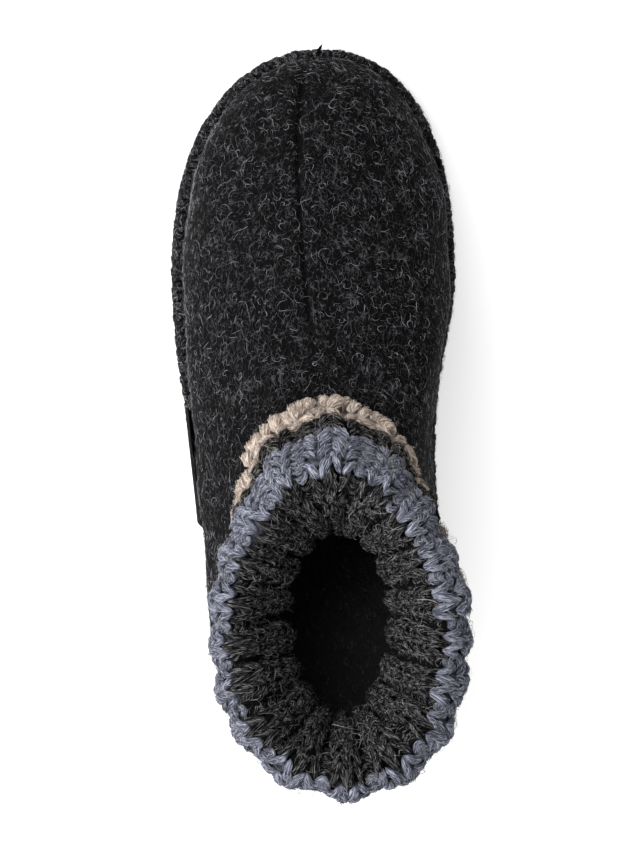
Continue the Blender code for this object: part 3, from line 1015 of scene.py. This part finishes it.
def pitch(rib, share):
    """Distance between ridges at a place on the knit, measured over half a rib."""
    here, there = (on_knit(rib + way * HALF_RIB / 2, share, 0 * share)[0] for way in (-1, 1))
    return np.linalg.norm(there - here, axis=-1) / HALF_RIB


# %% Rows of stitches
ROWS = 16
FIRST_ROW = 0.16
LAST_ROW = 0.985
ROW_STEP = (LAST_ROW - FIRST_ROW) / ROWS
ROLLED_OUT = 0.6
YARN = 1.3 * MM
YARN_TIP = 0.5
YARN_PLUMP = 0.6
USUAL_PITCH = 15.3 * MM
STITCH_STEPS = 8
steps = np.linspace(0, 1, STITCH_STEPS)[None]
print("rows lie about", round(ROW_STEP * knit_lengths.mean(), 1), "mm apart")


def row_share(rib, row):
    """Where a row lies between hem and free edge; on the outer side the cuff is rolled further out."""
    outer = np.clip(-np.sin(2 * math.pi * rib / RIBS), 0, 1)
    rolled = ROLLED_OUT * outer * np.sin(math.pi * np.clip(row / ROWS, 0, 1))
    return FIRST_ROW + ROW_STEP * (row + rolled + ROW_SAG * drift(rib, 0.0))


def yarn_size(rib, share, fat):
    """The yarn's radius at a place on the knit, larger where the ribs are stretched apart."""
    return YARN * fat * np.sqrt(pitch(rib + 0 * share, share) / USUAL_PITCH)


def plump(share):
    """How full a length of yarn is along its run: slim at its ends and 1 in its middle."""
    return YARN_TIP + (1 - YARN_TIP) * np.sin(math.pi * share) ** YARN_PLUMP


# %% Legs of the V stitches
COLUMN_AT = 0.195
LEG_SPREAD = (0.012, 0.185)
LEG_CURVE = 1.2
LEG_ROWS = (-0.3, 1.2)
LEG_TAPER = (0.06, 0.98)
LEG_SINK = 0.55
LEG_HUMP = 1.0 * MM
HUMP_POWER = 0.8
HUMP_LEVEL = 0.75
LEG_STRAY = {"row": 0.09, "fat": 0.1, "across": 0.014, "height": 0.16}


def stitch_legs(rows, width):
    """Paths, radii and normals of both legs of every V in these rows, on ribs of this width."""
    rib, column, leg, row = np.meshgrid(np.arange(RIBS), [-1, 1], [-1, 1], rows, indexing="ij")
    shape = rib.shape
    slip = chance.normal(0, LEG_STRAY["row"], shape[:2] + (1,) + shape[3:]) * np.ones(shape)
    fat = chance.normal(1.0, LEG_STRAY["fat"], shape)
    rib, column, leg, row, slip, fat = (
        part.reshape(-1, 1).astype(float) for part in (rib, column, leg, row, slip, fat)
    )
    near, far = LEG_SPREAD
    spread = near + (far - near) * np.sin(steps * math.pi / 2) ** LEG_CURVE
    stray = chance.normal(0, LEG_STRAY["across"], rib.shape)
    across = width * (column * COLUMN_AT + leg * spread) + stray
    share = row_share(rib, row + slip + np.linspace(*LEG_ROWS, STITCH_STEPS))
    size = yarn_size(rib, share, fat)
    hump = LEG_HUMP * (np.sin(math.pi * steps) ** HUMP_POWER - HUMP_LEVEL)
    height = ridge(across) - LEG_SINK * size + hump + swell(share) * np.cos(math.pi * across)
    height = height + chance.normal(0, LEG_STRAY["height"], rib.shape) * MM
    paths, normals = on_knit(rib + across, share, height)
    return paths, size * plump(np.linspace(*LEG_TAPER, STITCH_STEPS)), normals


# %% Bars in the valleys
BAR_WIDTH = 0.30
BARS_PER_ROW = 2
BAR_START = 0.4
BAR_SAG = 0.45
BAR_FULLNESS = 0.85
BAR_TIP = 0.6
BAR_DIP = 0.4
BAR_STRAY = {"row": 0.1, "fat": 0.08, "height": 0.2}


def purl_bars(rows, valley):
    """Paths, radii and normals of the bars across the valleys, so many mm under the knit's face."""
    rib, row = np.meshgrid(np.arange(RIBS) + HALF_RIB, rows, indexing="ij")
    rib, row = rib.reshape(-1, 1), row.reshape(-1, 1)
    across = (steps - 0.5) * BAR_WIDTH
    arch = np.sin(math.pi * steps)
    slip = chance.normal(0, BAR_STRAY["row"], rib.shape)
    share = row_share(rib, row - BAR_SAG * arch + slip)
    size = yarn_size(rib, share, chance.normal(BAR_FULLNESS, BAR_STRAY["fat"], rib.shape))
    stray = chance.normal(0, BAR_STRAY["height"], rib.shape)
    height = KNIT_HALF - (valley + BAR_DIP * arch + stray) * MM
    paths, normals = on_knit(rib + across, share, height)
    return paths, size * (BAR_TIP + (1 - BAR_TIP) * arch), normals


# %% Stripes of yarn
BARE_VALLEY = 2.0
STRIPES = {
    # The neck's rows are the lining yarn made darker, with less and darker fuzz: painted shade in the
    # collar
    "knit_neck_painted_shade": {
        "rows": (0, 2), "width": 0.88, "valley": 2.2,
        "fuzz": 6, "bright": 0.2, "thick": (0.07, 0.12), "curl": 0.6,
        "dark": (0.002, 0.002, 0.0022), "middle": (0.006, 0.006, 0.006), "pale": (0.16, 0.157, 0.155),
    },
    "knit_lining": {
        "rows": (2, 8), "width": 0.88, "valley": 2.2,
        "fuzz": 12, "bright": 0.3, "thick": (0.08, 0.15), "curl": 0.6,
        "dark": (0.002, 0.002, 0.0022), "middle": (0.009, 0.009, 0.009), "pale": (0.19, 0.189, 0.196),
    },
    "knit_blue": {
        "rows": (8, 12), "width": 1.0, "valley": 0.9,
        "fuzz": 17, "bright": 0.5, "thick": (0.08, 0.15), "curl": 0.45,
        "dark": (0.038, 0.041, 0.054), "middle": (0.143, 0.149, 0.19), "pale": (0.385, 0.40, 0.48),
    },
    "knit_charcoal": {
        "rows": (12, 14), "width": 1.0, "valley": 1.2,
        "fuzz": 11, "bright": 0.3, "thick": (0.08, 0.14), "curl": 0.7,
        "dark": (0.002, 0.002, 0.002), "middle": (0.009, 0.009, 0.008), "pale": (0.20, 0.19, 0.18),
    },
    "knit_beige": {
        "rows": (14, 15), "width": 1.0, "valley": 0.9,
        "fuzz": 16, "bright": 0.6, "thick": (0.08, 0.14), "curl": 0.4,
        "dark": (0.185, 0.145, 0.12), "middle": (0.425, 0.342, 0.29), "pale": (0.65, 0.565, 0.49),
    },
}
for name, row in STRIPES.items():
    legs = stitch_legs(np.arange(*row["rows"]), row["width"])
    bars = purl_bars(np.arange(*row["rows"], 1 / BARS_PER_ROW) + BAR_START, row["valley"])
    paths, radii, normals = (np.concatenate(kinds) for kinds in zip(legs, bars))
    fuzzy = None if row["valley"] < BARE_VALLEY else len(legs[0])
    add_yarn(name, paths, radii, normals, row, fuzzy)

# %% [markdown]
# ## Cast-off edge
# The knit ends in one row of slanted beige stitches that lie close side by side and turn over the
# edge. They reach further in between the ridges, which gives the beige band its scalloped line.

# %% Cast-off edge
EDGE_STITCH = 3.7 * MM
EDGE_FULLNESS = 0.62
EDGE_DEPTH = 0.055
EDGE_SCALLOP = 0.018
EDGE_SLANT = 0.15
EDGE_RIDGE = 0.55
EDGE_RISE = 0.6 * MM
EDGE_REACHED = 0.75
EDGE_EASE = 0.9
TURN_START = 0.62
TURN_EASE = 1.6
TURN_UNDER = 1.6 * MM
EDGE_STRAY = {"rib": 0.02, "reach": 0.008, "end": 0.008, "slant": 0.05, "fat": 0.13}
FINE_STEPS = 40
fine_rib = np.linspace(0, RIBS, FINE_STEPS * RIBS + 1)
edge_rim = on_knit(fine_rib, np.full(fine_rib.shape, LAST_ROW), 0 * fine_rib)[0]
edge_count = round(run_along(edge_rim)[-1] / EDGE_STITCH)


def edge_stray(key):
    """How far each stitch of the edge departs from the usual one."""
    return chance.normal(0, EDGE_STRAY[key], (edge_count, 1))


edge_rib = evenly(edge_rim, fine_rib, edge_count)[:, None] + edge_stray("rib")
reach = EDGE_DEPTH - EDGE_SCALLOP * np.cos(2 * math.pi * edge_rib) + edge_stray("reach")
edge_end = LAST_ROW + edge_stray("end")
edge_share = edge_end - reach * (1 - ramp(steps, 0, EDGE_REACHED) ** EDGE_EASE)
edge_top = KNIT_HALF + EDGE_RIDGE * (ridge(edge_rib) - KNIT_HALF)
turned_over = ramp(steps, TURN_START, 1) ** TURN_EASE
edge_height = edge_top + EDGE_RISE * np.sin(math.pi * steps) - (edge_top + TURN_UNDER) * turned_over
edge_across = edge_rib + (EDGE_SLANT + edge_stray("slant")) * (steps - 0.5)
edge_paths, edge_normals = on_knit(edge_across, edge_share, edge_height)
edge_radii = EDGE_FULLNESS * EDGE_STITCH * (1 + edge_stray("fat")) * plump(steps)
add_yarn("knit_edge", edge_paths, edge_radii, edge_normals, STRIPES["knit_beige"])

# %% [markdown]
# The knit's body lies under the stitches and closes the gaps between them. It is the imported cuff,
# drawn in by half a yarn's radius, so that the stitches stand where the solid's face was. Its colours
# are the yarns' own, made darker by BODY_SHADE as painted shade in the gaps between the stitches.

# %% Body of the cuff
BODY_INSET = 0.7 * MM
BODY_SHADE = 0.8
BODY_LAG = 0.3
BODY_LINT = LINT | {"scale": 1400}
BODY_MOTTLE = (0.35, 0.65)
BODY_HEM = (0.003, 0.02)
STRIPE_BLUR = 0.012


def body_finish(name):
    """The yarns' colours darkened as painted shade, stripe by stripe from the hem to the free edge."""
    body = Finish(name, roughness=0.95)
    lint = body.noise(body.place(), **BODY_LINT)
    mottle = lint.rise(*BODY_MOTTLE)
    share = body.number("ShaderNodeAttribute", {"attribute_name": "share"}, out="Fac")
    colour = body.blend(mottle, *(grey(level) for level in BODY_HEM))
    for row in list(STRIPES.values())[1:]:
        start = FIRST_ROW + ROW_STEP * (row["rows"][0] + BODY_LAG)
        yarn = body.blend(mottle, *colours_of(row, "dark", "middle", level=BODY_SHADE))
        colour = body.blend(share.rise(start - STRIPE_BLUR, start + STRIPE_BLUR), colour, yarn)
    body.colour(colour)
    body.bump(lint, FELT_BUMP)
    return body


body_mesh = soft_copy("cuff", "cuff_body", levels=1)
body_points, body_normals = read_points(body_mesh)
body_points = body_points - body_normals * BODY_INSET
write_points(body_mesh, body_points)
write_layer(body_mesh, "share", knit_share(body_points))
add_piece(body_mesh, body_finish("knit_shadow"), ["cuff"])

# %% [markdown]
# A wool cuff sheds. Pale hairs stand off the knit all over, a few long ones lie across it, and beige
# ones from the cast-off edge reach out over the felt.

# %% Hairs on the cuff
CUFF_HAIRS = {
    "cuff_hairs": {
        "dark": 0.06, "pale": 0.30, "count": 1400, "steps": 6, "bend": 2.2, "from": 0.2,
        "length": (3.0, 8.0), "lift": (2.2, 4.2), "thick": (0.05, 0.085),
    },
    "stray_hairs": {
        "dark": 0.20, "pale": 0.42, "count": 34, "steps": 14, "bend": 1.6, "from": 0.2,
        "length": (12.0, 28.0), "lift": (2.6, 4.2), "thick": (0.05, 0.075),
    },
    "edge_hairs": {
        "dark": 0.22, "pale": 0.50, "count": 420, "steps": 8, "bend": 1.8, "from": 0.93,
        "length": (4.0, 10.0), "lift": (1.4, 3.6), "thick": (0.035, 0.06),
    },
}
WARM = (1.0, 0.95, 0.88)
HAIRS_DOWN = -0.35


def cuff_face(start):
    """Where hairs stand on the cuff: its outer faces from a share of the knit up to the free edge."""

    def wanted(points, normals):
        return (knit_share(points) > start) * (normals[:, 2] > HAIRS_DOWN)

    return wanted


for name, row in CUFF_HAIRS.items():
    add_fibres(name, body_mesh, cuff_face(row["from"]), row, WARM)

# %% [markdown]
# ## Side patch
# A small plain woven tape is sewn flat on the outer side. Its threads cross at right angles, so two
# sets of fine bands make the weave.

# %% Side patch
WEAVE = 520.0
WEAVE_WEIGHT = 0.7
WORN = {"scale": 300, "detail": 3.0}
WORN_WEIGHT = 0.5
TAPE_RANGE = (0.3, 0.9)
TAPE_BUMP = 0.15 * MM


def tape_finish(name, dark, pale):
    """A plain weave: bands of thread that cross each other, a little worn."""
    tape = Finish(name, roughness=0.75, specular=0.15)
    place = tape.place()
    inputs = {"Vector": place, "Scale": WEAVE}
    ways = ({"bands_direction": way} for way in ("Y", "Z"))
    warp, weft = (tape.number("ShaderNodeTexWave", way, inputs, out="Fac") for way in ways)
    weave = (warp + weft) * 0.5
    tone = weave * WEAVE_WEIGHT + tape.noise(place, **WORN) * WORN_WEIGHT
    tape.colour(tape.blend(tone.rise(*TAPE_RANGE), grey(dark), grey(pale)))
    tape.bump(weave, TAPE_BUMP)
    return tape


patch_mesh = rounded_copy("side_patch", "woven_patch", width=0.3 * MM)
tape = tape_finish("black_tape", dark=0.003, pale=0.016)
add_piece(patch_mesh, tape, ["side_patch"])

# %% [markdown]
# ## Floor and light
# The photo is lit softly on white, a little stronger from the outer side of this slipper. A pale
# floor, an even sky, and large lamps above, at the outer side and behind the heel do the same. The
# floor lies a hair under the sole, so that their faces don't coincide.

# %% Floor and light
FLOOR_SIZE = 6.0
FLOOR_GAP = 0.2 * MM
FLOOR_TONES = (0.56, 0.58)
FLOOR_CLOUDS = 3.0
CLOUD_RANGE = (0.3, 0.7)
FLOOR_GLOW = 0.62
SKY_LIGHT = 0.40
NEUTRAL = (1.0, 1.0, 1.0)
base = bmesh.new()
under = Matrix.Translation((0, 0, -FLOOR_GAP))
bmesh.ops.create_grid(base, x_segments=1, y_segments=1, size=FLOOR_SIZE / 2, matrix=under)
floor_mesh = smooth_mesh(base, "floor")
floor = add_object("floor", floor_mesh)
paper = Finish("floor_paper")
clouds = paper.noise(paper.place(), FLOOR_CLOUDS).rise(*CLOUD_RANGE)
paper.colour(paper.blend(clouds, *(grey(level, NEUTRAL) for level in FLOOR_TONES)))
paper.shader.inputs["Emission Color"].default_value = grey(1.0, NEUTRAL)
paper.shader.inputs["Emission Strength"].default_value = FLOOR_GLOW
floor_mesh.materials.append(paper.material)

# %% Sky and lamps
sky = bpy.data.worlds.new("sky")
sky.use_nodes = True
backdrop = sky.node_tree.nodes["Background"]
backdrop.inputs["Color"].default_value = grey(1.0, NEUTRAL)
backdrop.inputs["Strength"].default_value = SKY_LIGHT
bpy.context.scene.world = sky
LAMPS = [
    {"name": "above", "place": (-0.45, 0.4, 1.45), "size": 0.9, "watts": 13},
    {"name": "outer_side", "place": (-1.0, 0.2, 0.95), "size": 1.1, "watts": 23},
    {"name": "heel_side", "place": (-0.35, -1.0, 0.9), "size": 0.8, "watts": 10},
]
for row in LAMPS:
    lamp = bpy.data.lights.new(row["name"], "AREA")
    lamp.size = row["size"]
    lamp.energy = row["watts"]
    holder = add_object(row["name"], lamp)
    holder.location = row["place"]
    holder.rotation_euler = (-Vector(row["place"])).to_track_quat("-Z", "Y").to_euler()
bpy.context.scene.view_settings.view_transform = "Standard"
print("floor and", len(LAMPS), "lamps")

# %% [markdown]
# ## Finish
# The triangles of all pieces are counted and printed.

# %% Triangles in all
print("triangles in all:", sum(triangle_counts.values()))
